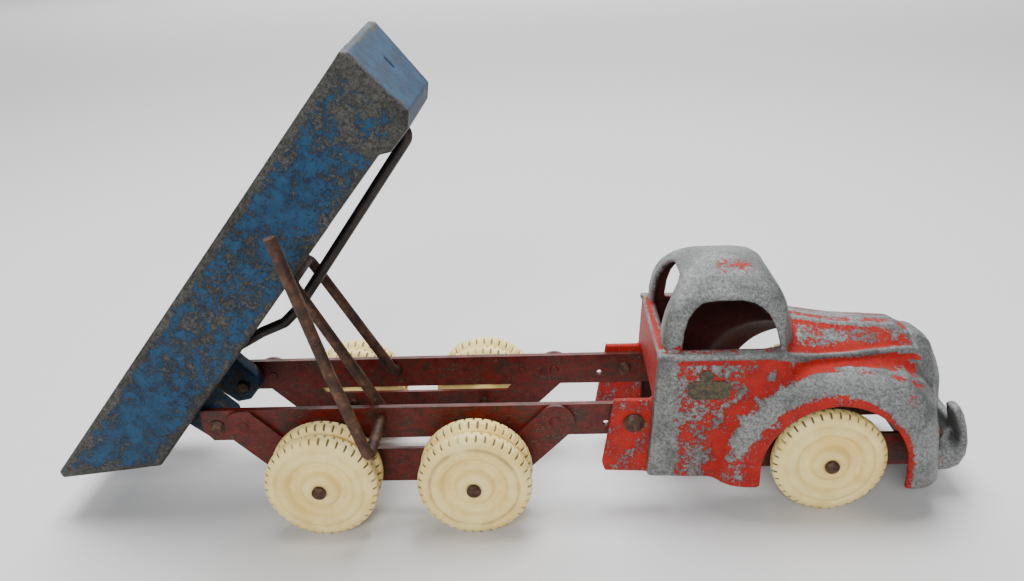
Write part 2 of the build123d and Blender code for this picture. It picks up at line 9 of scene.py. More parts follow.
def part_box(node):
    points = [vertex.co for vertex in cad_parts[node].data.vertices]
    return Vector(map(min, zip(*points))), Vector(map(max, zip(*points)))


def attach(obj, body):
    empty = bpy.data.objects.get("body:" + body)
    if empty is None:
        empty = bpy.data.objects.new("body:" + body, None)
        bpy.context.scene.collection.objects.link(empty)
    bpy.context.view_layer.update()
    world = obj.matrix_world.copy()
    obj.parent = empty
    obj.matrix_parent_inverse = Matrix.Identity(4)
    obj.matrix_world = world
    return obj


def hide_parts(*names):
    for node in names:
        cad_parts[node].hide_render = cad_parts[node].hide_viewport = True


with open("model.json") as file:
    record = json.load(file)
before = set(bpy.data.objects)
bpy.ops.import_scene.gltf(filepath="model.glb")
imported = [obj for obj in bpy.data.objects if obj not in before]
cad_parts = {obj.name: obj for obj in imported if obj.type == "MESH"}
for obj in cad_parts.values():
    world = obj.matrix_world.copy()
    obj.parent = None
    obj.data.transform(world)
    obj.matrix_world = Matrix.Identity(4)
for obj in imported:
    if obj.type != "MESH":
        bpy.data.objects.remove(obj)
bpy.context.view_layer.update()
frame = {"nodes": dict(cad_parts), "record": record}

# Lengths in this file are millimetres in the truck's own frame unless a name says otherwise:
# +X is the front, +Y the left, +Z up, the origin on the ground.
MM = 0.001


# ---- places read from the frame ---------------------------------------------------------
def corners(node):
    """Lowest and highest corner of a CAD node, in millimetres."""
    return [Vector(corner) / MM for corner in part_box(node)]


def middle(node):
    low, high = corners(node)
    return (low + high) / 2


def joint_place(name):
    """X and Z of a joint's axis."""
    for joint in frame["record"]["behaviour"]["joints"]:
        if joint["name"] == name:
            return joint["pos_m"][0] / MM, joint["pos_m"][2] / MM


HINGE = joint_place("tray_tilt")
PIVOT = joint_place("lever_swing")
FLOOR_SLOPE = [m for m in frame["record"]["mounts"] if m["name"] == "tray_floor"][0]["axis"]
TRAY_ANGLE = math.atan2(-FLOOR_SLOPE[0], FLOOR_SLOPE[2])
FRONT_AXLE = middle("wheel_front_right")
WHEEL_R = (corners("wheel_front_right")[1].z - corners("wheel_front_right")[0].z) / 2
RAIL_LOW, RAIL_HIGH = corners("rail_left")
# the cab and the tray are drawn from a point on the rails' middle plane, on the ground
AXLE_AHEAD, RAIL_ASIDE = 158.7, 26.2
ORIGIN = Vector((FRONT_AXLE.x - AXLE_AHEAD, (RAIL_LOW.y + RAIL_HIGH.y) / 2 - RAIL_ASIDE, 0))
AXLE_X, AXLE_Z = FRONT_AXLE.x - ORIGIN.x, FRONT_AXLE.z
LUG_PIN = middle("cab_rivet_left") - ORIGIN
NOSE_PIN = Vector((0, 15.0, 30.5))
HINGE_HOLE = 3.3
ROD_R = 2.8
PIN_HOLE = 2.7


# =========================================================================================
# Distance fields: a casting is described by how far each point is from its surface
# =========================================================================================
def polygon_distance(u, v, points):
    """Signed distance from (u, v) to a closed polygon, negative inside."""
    nearest = np.full(np.broadcast(u, v).shape, 1e9)
    inside = np.zeros(nearest.shape, bool)
    for (u0, v0), (u1, v1) in zip(points, points[1:] + points[:1]):
        du, dv = u1 - u0, v1 - v0
        t = np.clip(((u - u0) * du + (v - v0) * dv) / (du * du + dv * dv), 0, 1)
        nearest = np.minimum(nearest, (u - u0 - t * du) ** 2 + (v - v0 - t * dv) ** 2)
        if dv:
            crosses = (v0 > v) != (v1 > v)
            inside ^= crosses & (u < du * (v - v0) / dv + u0)
    return np.where(inside, -1.0, 1.0) * np.sqrt(nearest)


def soft_max(a, b, k):
    """The larger of two fields, with the edge between them rounded over about k."""
    h = np.maximum(k - np.abs(a - b), 0) / k
    return np.maximum(a, b) + h * h * k / 4


def soft_min(a, b, k):
    """The smaller of two fields, with the corner between them filleted over about k."""
    return -soft_max(-a, -b, k)


def bell(distance, width):
    """1 on a line, falling to 0 over about width."""
    return np.exp(-((distance / width) ** 2))


def ramp(value, start, end):
    """0 before start, 1 after end, smooth between."""
    t = np.clip((value - start) / (end - start), 0, 1)
    return t * t * (3 - 2 * t)


def surface_net(field, origin, step):
    """Vertices and quads of the surface where the field is zero."""
    inside = field < 0
    cells = tuple(n - 1 for n in field.shape)
    total = [np.zeros(cells[0] * cells[1] * cells[2]) for _ in range(4)]
    quads = []
    for axis in range(3):
        low = tuple(slice(None, -1) if a == axis else slice(None) for a in range(3))
        high = tuple(slice(1, None) if a == axis else slice(None) for a in range(3))
        index = np.argwhere(inside[low] != inside[high])
        f0 = field[low][tuple(index.T)]
        f1 = field[high][tuple(index.T)]
        place = index.astype(float)
        place[:, axis] += f0 / (f0 - f1)
        u, v = [a for a in range(3) if a != axis]
        ring = []
        for du, dv in ((-1, -1), (0, -1), (0, 0), (-1, 0)):
            cell = index.copy()
            cell[:, u] += du
            cell[:, v] += dv
            ring.append(cell)
        fits = np.all([(c >= 0).all(1) & (c < cells).all(1) for c in ring], axis=0)
        flat = [np.ravel_multi_index(c[fits].T, cells) for c in ring]
        for f in flat:
            for a in range(3):
                total[a] += np.bincount(f, place[fits, a], len(total[a]))
            total[3] += np.bincount(f, minlength=len(total[3]))
        faces = np.stack(flat, axis=1)
        flip = (f0[fits] < 0) == (axis == 1)
        faces[flip] = faces[flip][:, ::-1]
        quads.append(faces)
    used = np.flatnonzero(total[3])
    number = np.zeros(len(total[3]), int)
    number[used] = np.arange(len(used))
    points = np.stack([total[a][used] / total[3][used] for a in range(3)], axis=1)
    return points * step + origin, number[np.concatenate(quads)]


def grid(low, high, step):
    """Coordinate arrays of a box of points, shaped to broadcast."""
    axes = [np.arange(a, b + step, step) for a, b in zip(low, high)]
    return axes[0][:, None, None], axes[1][None, :, None], axes[2][None, None, :]


# =========================================================================================
# Meshes
# =========================================================================================
def add_piece(name, mesh, material, body, node):
    """Puts an object in the scene that rides on a body and stands for a CAD node."""
    piece = bpy.data.objects.new(name, mesh)
    bpy.context.scene.collection.objects.link(piece)
    mesh.materials.append(material)
    mesh.shade_smooth()
    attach(piece, body)
    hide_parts(node)


def mesh_from_arrays(name, points, quads):
    """A mesh from arrays of points in millimetres and of faces with four corners."""
    mesh = bpy.data.meshes.new(name)
    mesh.vertices.add(len(points))
    mesh.vertices.foreach_set("co", (points * MM).astype(np.float32).ravel())
    mesh.loops.add(len(quads) * 4)
    mesh.loops.foreach_set("vertex_index", quads.astype(np.int32).ravel())
    mesh.polygons.add(len(quads))
    mesh.polygons.foreach_set("loop_start", np.arange(0, len(quads) * 4, 4, dtype=np.int32))
    mesh.update(calc_edges=True)
    return mesh


def paint_attribute(mesh, name, values):
    """Stores one number per vertex for a material to read."""
    attribute = mesh.attributes.new(name, "FLOAT", "POINT")
    attribute.data.foreach_set("value", np.asarray(values, np.float32))


def mirrored(field):
    """The whole field from its half at positive Y; the first layer lies on the middle plane."""
    return np.concatenate([field[:, :0:-1, :], field], axis=1)


# =========================================================================================
# Material nodes
# =========================================================================================
class Graph:
    """A material's node tree, with short calls for the nodes used here."""

    def __init__(self, name):
        self.material = bpy.data.materials.new(name)
        self.material.use_nodes = True
        self.tree = self.material.node_tree
        self.shader = self.tree.nodes["Principled BSDF"]
        self.place = self.add("ShaderNodeTexCoord").outputs["Object"]

    def add(self, kind, **settings):
        node = self.tree.nodes.new(kind)
        for key, value in settings.items():
            setattr(node, key, value)
        return node

    def put(self, socket, value):
        if isinstance(value, bpy.types.NodeSocket):
            self.tree.links.new(value, socket)
        elif isinstance(value, tuple) and len(value) == 3 and socket.type == "RGBA":
            socket.default_value = (*value, 1.0)
        else:
            socket.default_value = value

    def noise(self, millimetres, detail=4.0, roughness=0.6, stretch=None):
        """Noise whose blotches are about the given size, from 0 to 1 around 0.5."""
        node = self.add("ShaderNodeTexNoise")
        place = self.place
        if stretch:
            mapping = self.add("ShaderNodeMapping")
            self.put(mapping.inputs["Vector"], place)
            mapping.inputs["Scale"].default_value = stretch
            place = mapping.outputs["Vector"]
        self.put(node.inputs["Vector"], place)
        node.inputs["Scale"].default_value = 1000.0 / millimetres
        node.inputs["Detail"].default_value = detail
        node.inputs["Roughness"].default_value = roughness
        return node.outputs["Fac"]

    def math(self, operation, a, b=0.0, c=0.0):
        node = self.add("ShaderNodeMath", operation=operation)
        for socket, value in zip(node.inputs, (a, b, c)):
            self.put(socket, value)
        return node.outputs[0]

    def ramp(self, value, low, high, to_low=0.0, to_high=1.0):
        """value from low to high, smoothly brought to to_low to to_high."""
        node = self.add("ShaderNodeMapRange", interpolation_type="SMOOTHSTEP")
        for name, v in zip(("Value", "From Min", "From Max", "To Min", "To Max"),
                           (value, low, high, to_low, to_high)):
            self.put(node.inputs[name], v)
        return node.outputs["Result"]

    def mix(self, factor, a, b):
        node = self.add("ShaderNodeMix", data_type="RGBA")
        self.put(node.inputs["Factor"], factor)
        self.put(node.inputs["A"], a)
        self.put(node.inputs["B"], b)
        return node.outputs["Result"]

    def attribute(self, name):
        return self.add("ShaderNodeAttribute", attribute_name=name).outputs["Fac"]

    def bump(self, height, millimetres, strength=1.0):
        node = self.add("ShaderNodeBump")
        node.inputs["Distance"].default_value = millimetres * MM
        node.inputs["Strength"].default_value = strength
        self.put(node.inputs["Height"], height)
        self.tree.links.new(node.outputs["Normal"], self.shader.inputs["Normal"])

    def finish(self, color, roughness, metallic=0.0, specular=0.5):
        self.put(self.shader.inputs["Base Color"], color)
        self.put(self.shader.inputs["Roughness"], roughness)
        self.put(self.shader.inputs["Metallic"], metallic)
        self.put(self.shader.inputs["Specular IOR Level"], specular)
        return self.material


def worn_enamel(name, paint, paint_2, metal, metal_2, chip_mm, inside, stray_share):
    """Enamel chipped off cast metal: the mesh's "bare" says how much of it is gone; a second value
    gives the casting's inside a dark colour, painted shade.
    """
    g = Graph(name)
    bare = g.attribute("bare")
    coarse = g.noise(chip_mm * 7.0, 5.0, 0.62)
    fine = g.noise(chip_mm * 1.6, 5.0, 0.85)
    grain = g.noise(1.5, 6.0, 0.95)
    mottle = g.math("ADD", g.math("MULTIPLY", coarse, 0.40), g.math("MULTIPLY", fine, 0.60))
    edge = g.ramp(bare, 0.0, 1.0, 0.36, 0.64)
    film = g.ramp(g.math("SUBTRACT", mottle, edge), -0.008, 0.008)
    flecks = g.ramp(g.noise(2.3, 5.0, 0.9), 0.66 - stray_share, 0.68 - stray_share)
    film = g.math("MULTIPLY", film, g.math("SUBTRACT", 1.0, flecks))
    paint_color = g.mix(g.ramp(coarse, 0.35, 0.65), paint, paint_2)
    metal_color = g.mix(g.ramp(grain, 0.40, 0.62), metal, metal_2)
    metal_color = g.mix(g.ramp(g.noise(22.0, 4.0), 0.42, 0.66, 0.0, 0.45), metal_color,
                        tuple(c * 0.55 for c in metal))
    metal_color = g.mix(g.ramp(grain, 0.62, 0.72), metal_color, tuple(c * 1.7 for c in metal_2))
    skin = g.mix(film, metal_color, paint_color)
    # the inside faces take a dark colour, painted shade within the casting
    inside_shade = g.attribute("inside_shade")
    color = g.mix(inside_shade, skin, g.mix(coarse, inside, tuple(c * 0.5 for c in inside)))
    painted = g.math("MAXIMUM", film, inside_shade)
    relief = g.math("ADD", g.math("MULTIPLY", film, 0.8), g.math("MULTIPLY", grain, 1.6))
    g.bump(g.math("ADD", relief, g.math("MULTIPLY", fine, 0.9)), 0.30, 0.9)
    rough = g.math("ADD", g.ramp(painted, 0.0, 1.0, 0.36, 0.46), g.math("MULTIPLY", grain, 0.16))
    return g.finish(color, rough, g.ramp(painted, 0.0, 1.0, 0.78, 0.0), 0.30)


def rusted(name, dark, mid, light, spread_mm, gloss=0.5, metallic=0.25):
    """Steel under brown rust or old japan, blotched and finely pitted."""
    g = Graph(name)
    blotch = g.noise(spread_mm, 6.0, 0.65)
    fine = g.noise(0.9, 4.0, 0.7)
    color = g.mix(g.ramp(blotch, 0.38, 0.62), dark, mid)
    color = g.mix(g.ramp(g.math("MULTIPLY", fine, blotch), 0.28, 0.42), color, light)
    g.bump(g.math("ADD", fine, g.math("MULTIPLY", blotch, 0.6)), 0.14, 0.7)
    return g.finish(color, g.ramp(fine, 0.3, 0.7, gloss, gloss + 0.22), metallic)


def chassis_enamel():
    """Dark red enamel on steel strip, with rust, grime and scratches along the strip."""
    g = Graph("chassis_enamel")
    blotch = g.noise(9.0, 6.0, 0.65)
    streak = g.noise(2.2, 5.0, 0.7, stretch=(0.22, 1.0, 1.0))
    fine = g.noise(0.8, 3.0, 0.7)
    red = g.mix(g.ramp(blotch, 0.35, 0.65), (0.050, 0.003, 0.0015), (0.170, 0.008, 0.003))
    grime = g.ramp(g.math("ADD", blotch, g.math("MULTIPLY", streak, 0.6)), 0.74, 0.92)
    color = g.mix(grime, red, (0.035, 0.012, 0.007))
    color = g.mix(g.ramp(g.math("MULTIPLY", streak, fine), 0.31, 0.40, 0.0, 0.8), color,
                  (0.16, 0.07, 0.035))
    g.bump(g.math("ADD", fine, streak), 0.12, 0.6)
    return g.finish(color, g.ramp(streak, 0.3, 0.7, 0.36, 0.58), 0.0, 0.35)


def vinyl():
    """Yellowed cream vinyl, soiled in the tread, with painted shade darkening the dish and a brown
    stain round the dish.
    """
    g = Graph("vinyl")
    cloud = g.noise(14.0, 4.0, 0.55)
    fine = g.noise(1.2, 4.0, 0.7)
    color = g.mix(g.ramp(cloud, 0.35, 0.65), (0.90, 0.73, 0.30), (0.82, 0.60, 0.20))
    # darker where the tread is soiled, and darker in the dish's middle as painted shade
    dirt_and_dish_shade = g.ramp(g.math("ADD", g.attribute("dirt_and_dish_shade"), g.math("MULTIPLY", fine, 0.5)), 0.45, 1.1)
    color = g.mix(dirt_and_dish_shade, color, (0.16, 0.12, 0.05))
    stain = g.math("MULTIPLY", g.attribute("stain"), g.ramp(cloud, 0.3, 0.62))
    color = g.mix(stain, color, (0.36, 0.22, 0.09))
    g.bump(g.math("ADD", fine, cloud), 0.10, 0.5)
    g.shader.inputs["Subsurface Weight"].default_value = 0.08
    g.shader.inputs["Subsurface Radius"].default_value = (0.002, 0.0015, 0.0008)
    return g.finish(color, g.ramp(fine, 0.3, 0.7, 0.38, 0.52))


def varnished_badge():
    """A dark varnished transfer, gold worn through at random, with no lettering."""
    g = Graph("varnished_badge")
    flake = g.noise(1.6, 5.0, 0.7)
    color = g.mix(g.ramp(flake, 0.42, 0.60), (0.012, 0.010, 0.004), (0.075, 0.055, 0.014))
    color = g.mix(g.ramp(g.noise(3.5, 3.0), 0.56, 0.64, 0.0, 0.8), color, (0.16, 0.035, 0.02))
    g.bump(flake, 0.1, 0.6)
    return g.finish(color, g.ramp(flake, 0.3, 0.7, 0.30, 0.5))


# the last colour of each is the painted shade of the casting's inside; only the cab uses it
CAB_ENAMEL = worn_enamel(
    "cab_enamel", (0.30, 0.004, 0.0015), (0.40, 0.012, 0.004),
    (0.115, 0.120, 0.118), (0.37, 0.38, 0.37), 1.3, (0.055, 0.003, 0.002), 0.06,
)
TRAY_ENAMEL = worn_enamel(
    "tray_enamel", (0.003, 0.028, 0.070), (0.009, 0.060, 0.130),
    (0.036, 0.034, 0.030), (0.125, 0.125, 0.115), 1.2, (0.005, 0.03, 0.075), 0.07,
)
RUSTY_ROD = rusted("rusty_rod", (0.028, 0.010, 0.005), (0.085, 0.034, 0.014), (0.17, 0.085, 0.045), 7)
RUSTY_PIN = rusted("rusty_pin", (0.030, 0.011, 0.005), (0.085, 0.035, 0.016), (0.17, 0.10, 0.06), 3)
BLACK_ROD = rusted("black_rod", (0.012, 0.010, 0.010), (0.030, 0.020, 0.017), (0.09, 0.05, 0.035),
                   12, 0.36)
CHASSIS_ENAMEL = chassis_enamel()
VINYL = vinyl()
BADGE = varnished_badge()

NODE_FINISH = {
    "rail_right": CHASSIS_ENAMEL, "rail_left": CHASSIS_ENAMEL,
    "hanger_right": CHASSIS_ENAMEL, "hanger_left": CHASSIS_ENAMEL,
    "front_axle_frame": CHASSIS_ENAMEL,
    "axle_front": RUSTY_PIN, "axle_rear_1": RUSTY_PIN, "axle_rear_2": RUSTY_PIN,
    "hinge_rivet_right": RUSTY_PIN, "hinge_rivet_left": RUSTY_PIN,
    "cab_rivet_right": RUSTY_PIN, "cab_rivet_left": RUSTY_PIN,
    "frame_rivets_right": CHASSIS_ENAMEL, "frame_rivets_left": CHASSIS_ENAMEL,
    "nose_rivets": RUSTY_PIN, "lever_rod": RUSTY_ROD, "guide_rod": BLACK_ROD,
    "door_badge_right": BADGE, "door_badge_left": BADGE,
}
for node, material in NODE_FINISH.items():
    for slot in frame["nodes"][node].material_slots:
        slot.material = material


# =========================================================================================
# Wheels: moulded vinyl, a dished face, a raised hub and two staggered rows of notches
# =========================================================================================
# radius and height above the tyre's face, from the bore out over the face and back to the bore
WHEEL_PROFILE = [
    (2.95, -4.0), (2.95, -0.3), (3.3, 0.3), (4.5, 0.6), (6.4, 0.55), (7.8, 0.25), (8.8, -0.4),
    (9.5, -1.8), (10.0, -3.0), (10.7, -3.6), (12.0, -3.8), (13.6, -3.75), (14.8, -3.5),
    (15.6, -2.8), (16.3, -1.7), (17.1, -0.75), (18.2, -0.15), (19.6, 0.0), (20.9, -0.35),
    (21.7, -0.9), (22.1, -1.35), (22.5, -1.25), (23.0, -0.9), (23.9, -0.8), (25.2, -1.05),
    (26.2, -1.5), (26.9, -1.95), (27.5, -2.4), (28.0, -2.7), (28.3, -3.4), (28.45, -4.2),
    (28.5, -4.9), (28.5, -5.3), (28.5, -5.7), (28.5, -6.1), (28.45, -6.8), (28.3, -7.6),
    (28.0, -8.3), (27.5, -9.0), (26.9, -9.6), (26.2, -10.1), (25.0, -10.6), (23.0, -10.9),
    (18.0, -11.0), (9.8, -11.0),
]
HUB_PROUD = 0.7
NOTCHES = 38
NOTCH_DEPTH = 1.25
# steps of one notch pitch: the outer row is cut around 0, the inner row around a half
PITCH_STEPS = (0.0, 0.08, 0.125, 0.25, 0.375, 0.42, 0.5, 0.58, 0.625, 0.75, 0.875, 0.92)


def notch_cut(phase, radius, y):
    """How deep the tread is cut, 0 to 1, at a phase of the pitch and a place on the profile."""
    outer = max(0.0, 1 - max(0.0, min(phase, 1 - phase) - 0.08) / 0.045)
    inner = max(0.0, 1 - max(0.0, abs(phase - 0.5) - 0.08) / 0.045)
    across_outer = ramp(-y, 1.0, 2.0) * (1 - ramp(-y, 4.9, 5.3))
    across_inner = ramp(-y, 5.7, 6.1) * (1 - ramp(-y, 9.0, 10.1))
    return (outer * across_outer + inner * across_inner) * ramp(radius, 26.2, 27.4)


def wheel_mesh(node, stain):
    """One wheel's mesh: the profile turned round its axle, with the tread cut and the tread's soiling
    and the dish's painted shade stored.
    """
    low, high = corners(node)
    centre = middle(node)
    out = 1 if centre.y > ORIGIN.y else -1
    # the hub stands out beyond the tyre's face
    face_y = (high.y if out > 0 else low.y) - out * HUB_PROUD
    boss = abs((low.y if out > 0 else high.y) - face_y) - 0.02
    profile = WHEEL_PROFILE + [(7.4, -boss), (2.95, -boss)]
    angles, phases = [], []
    for tooth in range(NOTCHES):
        for step in PITCH_STEPS:
            angles.append((tooth + step) * 2 * math.pi / NOTCHES)
            phases.append(step)
    angles = np.array(angles)
    seed = centre.x * 0.37 + centre.y * 0.11
    points, dirt_and_dish_shade, stains = [], [], []
    for radius, y in profile:
        cut = np.array([float(notch_cut(p, radius, y)) for p in phases])
        r = radius - NOTCH_DEPTH * cut
        swell = 0.10 * np.sin(3 * angles + seed) + 0.06 * np.sin(7 * angles + 2 * seed)
        on_face = ramp(radius, 11.0, 16.0) * (1 if y > -4 else 0)
        height = y + swell * on_face - 0.08 * on_face
        across = face_y + out * height + 0 * angles
        points.append(np.stack([centre.x + r * np.cos(angles), across,
                                centre.z + r * np.sin(angles)], axis=1))
        worn = 0.5 + 0.5 * np.sin(5.3 * angles + seed) * np.sin(2.1 * angles + 3 * seed)
        # painted shade in the dish's middle; the notches and the worn tread edge are soiled
        dirt_and_dish_shade.append(0.32 * bell(radius - 12.8, 2.6) + cut * (0.55 + 0.65 * worn)
                    + 0.25 * ramp(radius, 24.0, 28.0) * worn)
        stains.append(stain * bell(radius - 22.1, 0.75) * (0.35 + 0.65 * worn)
                      + 0.75 * bell(radius - 3.2, 0.9))
    rings, around = len(profile), len(angles)
    index = np.arange(rings * around).reshape(rings, around)
    nxt = np.roll(index, -1, axis=0), np.roll(index, -1, axis=1)
    quads = np.stack([index, nxt[0], np.roll(nxt[0], -1, axis=1), nxt[1]], axis=-1).reshape(-1, 4)
    if out > 0:
        quads = quads[:, ::-1]
    mesh = mesh_from_arrays(node, np.concatenate(points), quads)
    paint_attribute(mesh, "dirt_and_dish_shade", np.concatenate(dirt_and_dish_shade))
    paint_attribute(mesh, "stain", np.concatenate(stains))
    return mesh


STAINS = {"wheel_rear_2_outer_right": 1.0, "wheel_rear_1_outer_right": 0.3,
          "wheel_rear_1_outer_left": 0.6}
for node in [n for n in frame["nodes"] if n.startswith("wheel_")]:
    mesh = wheel_mesh(node, STAINS.get(node, 0.15))
    add_piece(node.replace("wheel_", "vinyl_wheel_"), mesh, VINYL,
              node.replace("wheel_", "wheel_body_"), node)


# =========================================================================================
# Tray: measured along its floor from the hinge (l), square to it (h), and across (y)
# =========================================================================================
TRAY_HALF, TRAY_WALL = 37.0, 2.8
TRAY_REAR, TAIL_FOOT = -71.0, -40.4
WARP = 3.3                       # how much higher the rim's left front corner stands
SLIT_Y, SLIT_H = 2.0, 34.5
POCKET_L, POCKET_TOP = 180.3, 17.6
LUG_MIDDLE, LUG_HALF = 19.1, 5.0
TRAY_STEP = 0.85
TRAY_OUTSIDE = [
    (-70.6, 52.3), (-72.5, 48.6), (-33.0, 11.8), (174.0, 14.2), (178.0, 11.0), (191.0, 10.7),
    (197.9, 15.0), (202.3, 49.6), (200.6, 52.3),
]
TRAY_INSIDE = [
    (TAIL_FOOT, 23.0), (195.5, 23.0), (199.2, 60.0), (-80.0, 60.0),
]
TRAY_UNDER = [(-24.0, -5.0), (177.0, -5.0), (177.0, 20.0), (-26.4, 20.0), (-31.0, 14.0)]
TRAY_LUG = [
    (-11.0, 21.0), (-11.0, -3.0), (-5.0, -7.8), (5.0, -7.8), (10.0, -3.0), (13.0, 21.0),
]


def tray_model():
    """The tray's mesh, built level along its floor and then turned to its place at rest."""
    low, high = (-76.0, -39.5, -10.0), (210.0, 39.5, 59.0)
    l, y, h = grid(low, high, TRAY_STEP)
    lift = WARP * (y + TRAY_HALF) / (2 * TRAY_HALF)
    lift = lift * np.clip((l - TRAY_REAR) / 270, 0, 1) * np.clip((h - 15) / 37, 0, 1)
    # hand-finished patterns leave a casting a little uneven
    wave = 0.25 * np.sin(l / 31 + 1) * np.cos(h / 19 + y / 40)
    lw, hw = l - lift, h - lift
    side = np.abs(y) - TRAY_HALF + 0.25 + wave
    outside = soft_max(polygon_distance(lw, hw, TRAY_OUTSIDE), side, 2.6)
    inside = soft_max(polygon_distance(lw, hw, TRAY_INSIDE), side + TRAY_WALL, 5.0)
    under = soft_max(polygon_distance(l, h, TRAY_UNDER), side + TRAY_WALL, 3.0)
    body = soft_max(outside, -inside, 1.3)
    body = soft_max(body, -under, 1.0)
    slit = np.maximum(np.abs(y - SLIT_Y) - 0.8, np.abs(h - SLIT_H) - 3.4)
    body = np.maximum(body, -np.maximum(slit, 185.0 - l))
    # the guide rod's upper end sits in a pocket of the bolster
    pocket = np.maximum(np.abs(l - POCKET_L) - 4.2, np.abs(y) - ROD_R - 0.4)
    body = np.maximum(body, -np.maximum(pocket, h - POCKET_TOP))
    lug_sides = np.abs(np.abs(y) - LUG_MIDDLE) - LUG_HALF
    lug = soft_max(polygon_distance(l, h, TRAY_LUG), lug_sides, 1.6)
    body = soft_min(body, lug, 2.0)
    body = np.maximum(body, HINGE_HOLE - np.sqrt(l * l + h * h) + 0 * y)
    points, quads = surface_net(body, np.array(low), TRAY_STEP)
    pl, py, ph = points.T
    # enamel is gone along the rim, the corners, the lower edge and towards the front
    rim = ramp(ph, 46.5, 51.0)
    corner = bell(pl - 201, 5.0) + bell(pl + 72 - (52 - ph) * 0.95, 4.0)
    under_edge = bell(ph - 12.5, 2.6) * (np.abs(py) > 33)
    inner_face = np.abs(py) < TRAY_HALF - 1.4
    outer_side = (np.abs(py) > TRAY_HALF - 1.4) * 1.0
    bare = 0.44 + 0.40 * rim + 0.42 * np.clip(corner, 0, 1) * ~inner_face + 0.45 * under_edge
    bare += 0.11 * ramp(pl, 125.0, 195.0) * outer_side
    bare -= 0.20 * (pl > 198.0) * (np.abs(py) < TRAY_HALF - 4)
    bare += 0.10 * np.sin(pl / 23 + 2) * np.sin(ph / 9 + 1)
    bare = np.where(inner_face & (ph > 23.5), bare - 0.06, bare)
    c, s = math.cos(TRAY_ANGLE), math.sin(TRAY_ANGLE)
    placed = np.stack([HINGE[0] + pl * c - ph * s, py + ORIGIN.y, HINGE[1] + pl * s + ph * c], 1)
    mesh = mesh_from_arrays("tray_casting", placed, quads)
    paint_attribute(mesh, "bare", bare)
    # no painted shade on the tray's inside
    paint_attribute(mesh, "inside_shade", 0 * bare)
    return mesh


add_piece("tray_casting", tray_model(), TRAY_ENAMEL, "tray", "tray_shell")


# =========================================================================================
# Cab: one hollow casting, drawn about the rails' middle plane, X as in the drawing
# =========================================================================================
SKIN = 3.0
CAB_STEP = 0.8
FAR = -60.0                      # an outline that reaches here runs on past what is kept
BELT_Z = 89.5
ARCH_R = 35.5
SKIRT_Z, SKIRT_X, SKIRT_RISE = 19.4, 100.0, -0.028
WING_HALF = 46.0
CAB_SIDE = [(60.0, FAR), (68.2, 20.0), (72.3, BELT_Z), (128.0, BELT_Z), (152.0, 80.0), (152.0, FAR)]
CAB_PLAN = [(60.0, FAR), (60.0, 37.0), (127.0, 37.0), (137.0, 34.0), (149.0, 26.0), (152.0, FAR)]
CABIN_SIDE = [
    (72.6, 70.0), (73.8, 98.0), (76.4, 107.0), (80.6, 115.0), (85.8, 121.5), (91.8, 126.2),
    (98.5, 128.6), (108.0, 129.2), (116.5, 127.9), (124.3, 124.2), (130.6, 118.0), (135.2, 109.5),
    (139.0, 100.0), (143.8, 86.0), (143.8, 70.0),
]
CABIN_ACROSS = [
    (FAR, 128.2), (0.0, 128.2), (7.0, 127.7), (14.0, 126.2), (20.0, 123.6), (25.0, 120.2),
    (29.0, 116.4), (31.6, 112.0), (33.2, 104.0), (35.3, 89.0), (36.0, 70.0), (FAR, 70.0),
]
CABIN_PLAN = [
    (72.2, FAR), (72.2, 31.0), (76.0, 36.0), (124.0, 36.0), (134.0, 31.5), (140.5, 21.0),
    (143.5, 9.0), (144.0, FAR),
]
# half sections of the bonnet, Y and Z, at distances along X
BONNET = {
    128.0: [(0, 98.2), (7, 97.0), (8.6, 95.8), (17, 91.8), (25, 86.0), (30, 81.0)],
    146.0: [(0, 95.2), (6.8, 93.9), (8.4, 92.5), (16, 88.8), (23, 83.5), (26.8, 79.5)],
    165.0: [(0, 92.0), (6.8, 90.7), (8.4, 89.2), (15, 85.5), (21, 81.0), (24.5, 77.5)],
    182.0: [(0, 90.8), (6.6, 89.5), (8.2, 88.0), (13, 84.4), (18, 80.5), (21.5, 76.5)],
    194.0: [(0, 89.8), (6.2, 88.6), (7.8, 87.0), (11.5, 83.0), (15.5, 79.5), (19.0, 75.0)],
    199.5: [(0, 86.2), (6.0, 85.4), (7.6, 84.8), (11, 81.8), (15, 78.4), (18.5, 74.0)],
    207.0: [(0, 84.0), (6.0, 83.4), (7.5, 82.9), (10.5, 79.4), (14.5, 76.0), (18.0, 71.5)],
    213.0: [(0, 80.2), (5.5, 79.6), (7.0, 79.1), (9.8, 75.9), (13.5, 72.4), (16.5, 67.4)],
    217.0: [(0, 73.0), (5.0, 72.5), (6.5, 72.0), (9.0, 70.3), (12.5, 66.4), (15.0, 61.5)],
}
BONNET_SIDE = [
    (126.0, FAR), (126.0, 110.0), (196.0, 110.0), (210.5, 84.0), (215.0, 79.5), (217.2, 72.0),
    (218.6, 62.0), (219.0, 50.0), (219.0, FAR),
]
